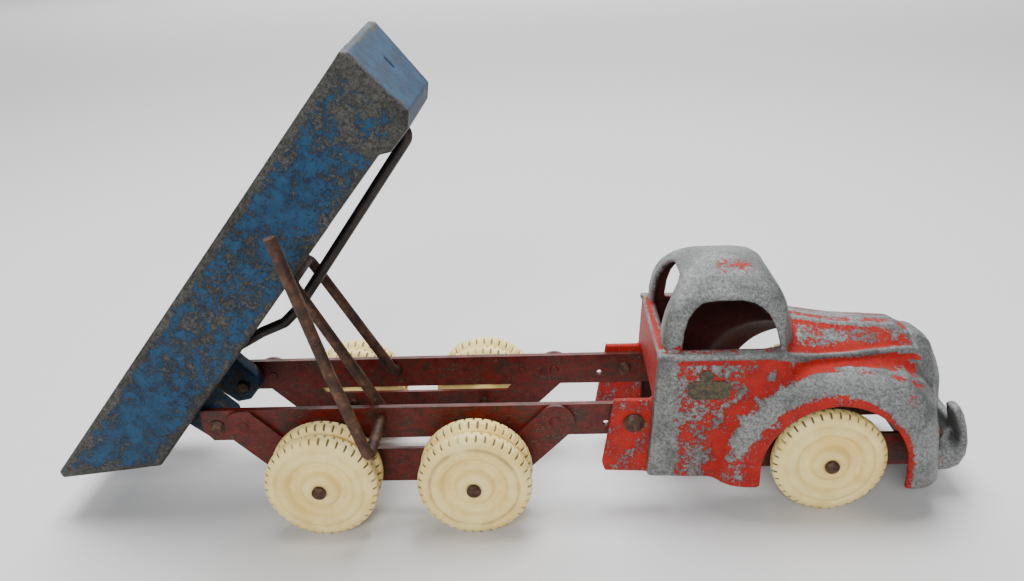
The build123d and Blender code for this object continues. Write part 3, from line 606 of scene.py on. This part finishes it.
# side outlines of a wing at rising distances from the middle plane
WING = {
    20.0: [
        (100, 20), (103.5, 44), (109.5, 59.5), (118, 70), (130, 76), (146, 78.5), (165, 78.5),
        (182, 76.5), (194, 73.5), (203, 68), (208.5, 59), (212, 44), (214, 18),
    ],
    30.0: [
        (100, 20), (103.5, 44), (109.5, 59.5), (118, 69.7), (130, 75.5), (146, 77.8), (165, 77.8),
        (182, 75.7), (194, 72.5), (203, 67.3), (208.5, 58.5), (212, 44), (215, 18),
    ],
    37.0: [
        (101, 20), (104.5, 43.5), (110.5, 58), (119, 67.5), (131, 73), (147, 75), (165, 75),
        (181, 73), (192.5, 70), (201, 65), (207, 57), (211, 43), (214, 18),
    ],
    42.0: [
        (102, 20), (106, 43), (112, 56.5), (120.5, 65.5), (132, 70.5), (148, 72.5), (165, 72.5),
        (180, 70.5), (191, 67.5), (199, 62.5), (205, 55), (209, 42), (212, 18),
    ],
    46.0: [
        (103, 20), (107, 42.5), (113, 55.5), (121.5, 64), (133, 69), (148, 71), (165, 71),
        (179, 69), (190, 66), (198, 61), (204, 53.5), (208, 41), (211, 18),
    ],
}
SIDE_WINDOW = [
    (84.0, 90.2), (85.0, 100.0), (87.0, 106.5), (90.0, 111.0), (93.5, 113.4), (100.0, 114.2),
    (112.0, 114.2), (117.0, 113.2), (121.0, 111.0), (124.5, 107.5), (128.5, 99.5), (131.2, 90.2),
]
REAR_WINDOW = [
    (-20.5, 92.0), (20.5, 92.0), (20.5, 107.0), (18.5, 113.0), (14.0, 117.5), (8.0, 119.5),
    (-8.0, 119.5), (-14.0, 117.5), (-18.5, 113.0), (-20.5, 107.0),
]
WINDSCREEN = [
    (3.0, 101.0), (24.0, 101.0), (23.5, 107.0), (21.0, 112.0), (17.0, 114.6), (6.0, 115.4),
    (3.0, 114.5),
]
FRONT_WALL = [(190, 72), (204, 67), (210.5, 56), (213.5, 40), (214.5, 18), (190, 18)]
NOSE_PLATE = [(204, 62), (212, 61), (216, 46), (219.4, 36), (219.4, 19.5), (204, 18)]
GRILLE = [(203, 60), (215.5, 70), (219.5, 61), (221.5, 48), (222.3, 36), (222.3, 20), (203, 18)]
BUMPER = [
    (213.0, 12.2), (224.5, 13.2), (230.0, 15.6), (232.8, 22.0), (232.8, 29.5), (231.0, 38.0),
    (228.4, 45.5), (226.0, 49.6), (223.0, 50.2), (221.6, 48.2), (224.2, 42.0), (226.8, 35.5),
    (227.4, 30.0), (226.0, 26.6), (222.6, 25.0), (213.0, 25.0),
]
LUG_PLATE = [(51.7, 62.2), (74.0, 62.2), (72.0, 19.3), (47.2, 20.2), (45.8, 25.0)]
BELT_LINE = [
    (72.6, 36.7, 88.6), (126.5, 36.7, 88.6), (133.0, 33.8, 86.5), (143.5, 27.0, 82.3),
    (164.0, 23.4, 81.2), (192.0, 16.6, 79.8), (204.0, 13.6, 77.8),
]


def between(table, at):
    """The outline of a table of outlines at a distance between two of them."""
    keys = sorted(table)
    at = min(max(at, keys[0]), keys[-1])
    for a, b in zip(keys, keys[1:]):
        if at <= b:
            t = (at - a) / (b - a)
            return [(p[0] * (1 - t) + q[0] * t, p[1] * (1 - t) + q[1] * t)
                    for p, q in zip(table[a], table[b])]


def chain_distance(x, y, z, line):
    """Distance to a line of straight runs in space."""
    nearest = np.float64(1e9)
    for a, b in zip(np.array(line), np.array(line[1:])):
        d = b - a
        t = ((x - a[0]) * d[0] + (y - a[1]) * d[1] + (z - a[2]) * d[2]) / (d @ d)
        t = np.clip(t, 0, 1)
        square = (x - a[0] - t * d[0]) ** 2 + (y - a[1] - t * d[1]) ** 2 + (z - a[2] - t * d[2]) ** 2
        nearest = np.minimum(nearest, square)
    return np.sqrt(nearest)


def cab_core(x, y, z):
    """The casting's outer body before its openings are cut, going on below its lower edge."""
    doors = soft_max(polygon_distance(x, z, CAB_SIDE), polygon_distance(x, y, CAB_PLAN), 2.2)
    cabin = soft_max(polygon_distance(x, z, CABIN_SIDE), polygon_distance(y, z, CABIN_ACROSS), 6.0)
    cabin = soft_max(cabin, polygon_distance(x, y, CABIN_PLAN), 7.0)
    bonnet = np.empty(np.broadcast(x, y, z).shape)
    for i, at in enumerate(x[:, 0, 0]):
        half = between(BONNET, at)
        outline = [(FAR, half[0][1])] + half + [(half[-1][0] + 2.0, 50.0), (half[-1][0] + 2.0, FAR),
                                                (FAR, FAR)]
        bonnet[i] = polygon_distance(y[0], z[0], outline)
    bonnet = soft_max(bonnet, polygon_distance(x, z, BONNET_SIDE), 5.0)
    wing = np.empty(bonnet.shape)
    for j, at in enumerate(y[0, :, 0]):
        outline = between(WING, at)
        outline = [(outline[0][0] - 1.5, FAR)] + outline + [(outline[-1][0] + 1.0, FAR)]
        wing[:, j] = polygon_distance(x[:, 0], z[:, 0], outline)
    wing = soft_max(wing, y - WING_HALF, 13.0)
    wing = soft_max(wing, 19.0 - y, 2.0)
    wall = soft_max(polygon_distance(x, z, FRONT_WALL[:-2] + [(214.5, FAR), (190, FAR)]), y - 30.0, 3)
    core = soft_min(doors, cabin, 2.6)
    core = soft_min(core, bonnet, 1.8)
    core = soft_min(core, wall, 3.0)
    core = soft_min(core, wing, 3.4)
    bead = chain_distance(x, y, z, BELT_LINE) - 1.35
    return soft_min(core, bead, 2.0)


def cab_model():
    """The cab's mesh: the core made a shell, cut and given its lugs, nose and bumper."""
    low, high = (43.0, 0.0, 8.0), (237.0, 48.0, 131.0)
    x, y, z = grid(low, high, CAB_STEP)
    core = cab_core(x, y, z)
    arch = np.sqrt((x - AXLE_X) ** 2 + np.maximum(z - AXLE_Z, 0) ** 2) - ARCH_R + 0 * y
    window = np.maximum(polygon_distance(x, z, SIDE_WINDOW), 22.0 - y)
    rear = np.maximum(polygon_distance(y, z, REAR_WINDOW), x - 92.0)
    screen = np.maximum(polygon_distance(y, z, WINDSCREEN), 120.0 - x)
    # pressed lines: the door's rear edge, and a line round the nose behind its cap
    door = chain_distance(x, y, z, [(84.0, 37.0, 88.0), (78.0, 37.0, 21.0)])
    cap = np.abs(x - 202.0 - (84 - z) * 0.12) + 40 * (y > 17.5) + 40 * (z < 68)
    skin = core + 0.55 * bell(door, 0.9) + 0.45 * bell(cap, 0.8)
    shell = soft_max(skin, -(core + SKIN), 0.8)
    for cut in (window, rear, screen):
        shell = soft_max(shell, -cut, 1.6)
    shell = soft_max(shell, -arch, 1.8)
    shell = soft_max(shell, SKIRT_Z + (x - SKIRT_X) * SKIRT_RISE - z, 1.8)
    rails_way = np.maximum(np.maximum(np.abs(x - 66) - 9, y - 27.9), z - 63.0)
    shell = np.maximum(shell, -rails_way)
    lug = soft_max(polygon_distance(x, z, LUG_PLATE), np.abs(y - 29.65) - 1.7, 1.2)
    lug = np.maximum(lug, PIN_HOLE - np.sqrt((x - LUG_PIN.x) ** 2 + (z - LUG_PIN.z) ** 2) + 0 * y)
    plate = soft_max(polygon_distance(x, z, NOSE_PLATE), y - 21.0, 2.0)
    plate = soft_max(plate, 210.0 - x, 1.0)
    grille = soft_max(polygon_distance(x, z, GRILLE), y - 9.0, 3.0)
    grille = soft_max(grille, 209.0 - x, 1.0)
    bumper = soft_max(polygon_distance(x, z, BUMPER), y - 26.8 + 0.02 * (z - 12), 4.5)
    # its lip stands up only in front of the wings
    bumper = soft_max(bumper, z - 36.0 - 15.5 * ramp(y, 9.0, 18.0), 2.5)
    shell = soft_min(shell, lug, 1.6)
    shell = soft_min(shell, plate, 2.4)
    shell = soft_min(shell, grille, 2.0)
    shell = soft_min(shell, bumper, 2.6)
    holes = np.sqrt((y - NOSE_PIN.y) ** 2 + (z - NOSE_PIN.z) ** 2) - PIN_HOLE + 0 * x
    shell = np.maximum(shell, -np.maximum(holes, 200.0 - x))

    corner = np.array((low[0], -y[0, -1, 0], low[2]))
    points, quads = surface_net(mirrored(shell), corner, CAB_STEP)
    # values of the body's field and of its bending, read at the vertices
    reach = 3
    bend = np.zeros(core.shape)
    whole = np.pad(core, ((0, 0), (reach, 0), (0, 0)), mode="reflect")
    for axis in range(3):
        ahead = np.roll(whole, -reach, axis)
        behind = np.roll(whole, reach, axis)
        bend += (ahead + behind - 2 * whole)[:, reach:, :]
    bend /= (reach * CAB_STEP) ** 2
    index = [np.clip(np.rint((v - o) / CAB_STEP).astype(int), 0, n - 1)
             for v, o, n in zip((points[:, 0], np.abs(points[:, 1]), points[:, 2]), low, core.shape)]
    depth = core[tuple(index)]
    bent = bend[tuple(index)]
    px, py, pz = points[:, 0], np.abs(points[:, 1]), points[:, 2]
    bare = cab_wear(px, points[:, 1], py, pz, bent)
    # painted shade on the cab's inside faces, but not at the lugs or the nose
    inside_shade = ramp(-depth, 1.2, 2.2) * (px < 214) * (1 - (px < 72) * (pz < 63) * (py > 27))
    mesh = mesh_from_arrays("cab_casting", points + np.array((ORIGIN.x, ORIGIN.y, 0)), quads)
    paint_attribute(mesh, "bare", bare)
    paint_attribute(mesh, "inside_shade", inside_shade)
    return mesh


def cab_wear(x, side_y, y, z, bent):
    """How much of the cab's enamel is gone at each vertex, 0 to 1."""
    worn = 0.50 + 0 * x
    worn += 0.18 * (x < 72) * (z < 63) * (y > 27)
    worn += 0.55 * np.clip(bent * 5.0, -0.35, 0.8)
    roof = ramp(z, 113.0, 118.0) * (x < 143)
    worn = worn * (1 - roof) + 0.97 * roof
    patch = bell(x - 112.0, 13.0) * bell(side_y + 13.0, 10.0) * roof
    worn -= 0.55 * patch
    pillar = ramp(z, 90.0, 94.0) * (1 - ramp(z, 112.0, 116.0)) * (x < 139)
    worn += 0.28 * pillar
    band = bell(x - 77.0, 4.0) * (y > 34) * (z < 88)
    worn += 0.45 * band
    valley = bell(chain_distance(x, y, z, [(116, 37, 76), (128, 37, 83), (140, 33, 78),
                                           (164, 26, 77), (190, 20, 75), (203, 17, 73)]), 3.2)
    worn -= 0.34 * valley
    crest = bell(np.sqrt((x - AXLE_X + 3) ** 2 + (z - AXLE_Z) ** 2) - 45.0, 3.6) * (y > 33)
    worn += 0.45 * crest * ramp(z, 30.0, 50.0)
    radius = np.sqrt((x - AXLE_X + 3) ** 2 + (z - AXLE_Z) ** 2)
    worn -= 0.30 * (1 - ramp(radius, 39.5, 43.0)) * (y > 38) * (x < 200)
    worn -= 0.16 * (1 - ramp(x, 118.0, 128.0)) * (y > 38) * (1 - ramp(z, 40.0, 55.0))
    worn += 0.40 * ramp(x, 196.0, 206.0)
    worn -= 0.30 * ramp(-x, -74.5, -72.0) * (y < 36)
    worn += 0.28 * bell(z - BELT_Z, 1.6) * (y > 30)
    return np.clip(worn, 0.02, 1.0)


add_piece("cab_casting", cab_model(), CAB_ENAMEL, "chassis", "cab_shell")


# =========================================================================================
# Floor, light and camera
# =========================================================================================
def floor():
    """A wide sheet of pale paper under the truck."""
    mesh = bpy.data.meshes.new("floor")
    half = 9000.0
    edge = [(-half, -half, 0), (half, -half, 0), (half, half, 0), (-half, half, 0)]
    mesh.from_pydata([tuple(v * MM for v in place) for place in edge], [], [(0, 1, 2, 3)])
    g = Graph("pale_paper")
    cloud = g.noise(900.0, 2.0, 0.5)
    color = g.mix(cloud, (0.66, 0.655, 0.655), (0.70, 0.69, 0.685))
    mesh.materials.append(g.finish(color, 0.75, 0.0, 0.25))
    plane = bpy.data.objects.new("floor", mesh)
    bpy.context.scene.collection.objects.link(plane)


def area_light(name, place, target, size, power):
    """A soft light at a place, turned to a target; its size is in millimetres."""
    data = bpy.data.lights.new(name, "AREA")
    data.shape = "RECTANGLE"
    data.size, data.size_y = (v * MM for v in size)
    data.energy = power
    light = bpy.data.objects.new(name, data)
    bpy.context.scene.collection.objects.link(light)
    place, target = Vector(place) * MM, Vector(target) * MM
    light.location = place
    light.rotation_euler = (target - place).to_track_quat("-Z", "Y").to_euler()


CAMERA_PLACE = (23.20, -392.74, 283.49)
CAMERA_TURN = (2.789, -23.702, -2.524)      # yaw to the left, pitch and roll, in degrees
LENS = 29.7903516                           # on a sensor 36 mm wide


def camera():
    """The camera, to the truck's right and above it."""
    data = bpy.data.cameras.new("camera")
    data.sensor_width = 36.0
    data.lens = LENS
    data.clip_start = 0.01
    view = bpy.data.objects.new("camera", data)
    bpy.context.scene.collection.objects.link(view)
    yaw, pitch, roll = (math.radians(angle) for angle in CAMERA_TURN)
    ahead = Vector((-math.sin(yaw) * math.cos(pitch), math.cos(yaw) * math.cos(pitch), math.sin(pitch)))
    level = Vector((math.cos(yaw), math.sin(yaw), 0))
    upright = level.cross(ahead)
    right = level * math.cos(roll) + upright * math.sin(roll)
    up = upright * math.cos(roll) - level * math.sin(roll)
    turn = Matrix((right, up, -ahead)).transposed().to_4x4()
    view.matrix_world = Matrix.Translation(Vector(CAMERA_PLACE) * MM) @ turn
    bpy.context.scene.camera = view


floor()
area_light("overhead", (-60, 330, 1450), (20, 30, 60), (900, 700), 33)
area_light("backdrop_wash", (0, 3800, 2600), (0, 3300, 0), (5200, 2600), 250)
area_light("front_fill", (-250, -1500, 1000), (0, 0, 80), (800, 500), 24)
world = bpy.data.worlds.new("studio")
world.use_nodes = True
world.node_tree.nodes["Background"].inputs["Color"].default_value = (0.84, 0.89, 0.96, 1)
world.node_tree.nodes["Background"].inputs["Strength"].default_value = 0.16
bpy.context.scene.world = world
camera()
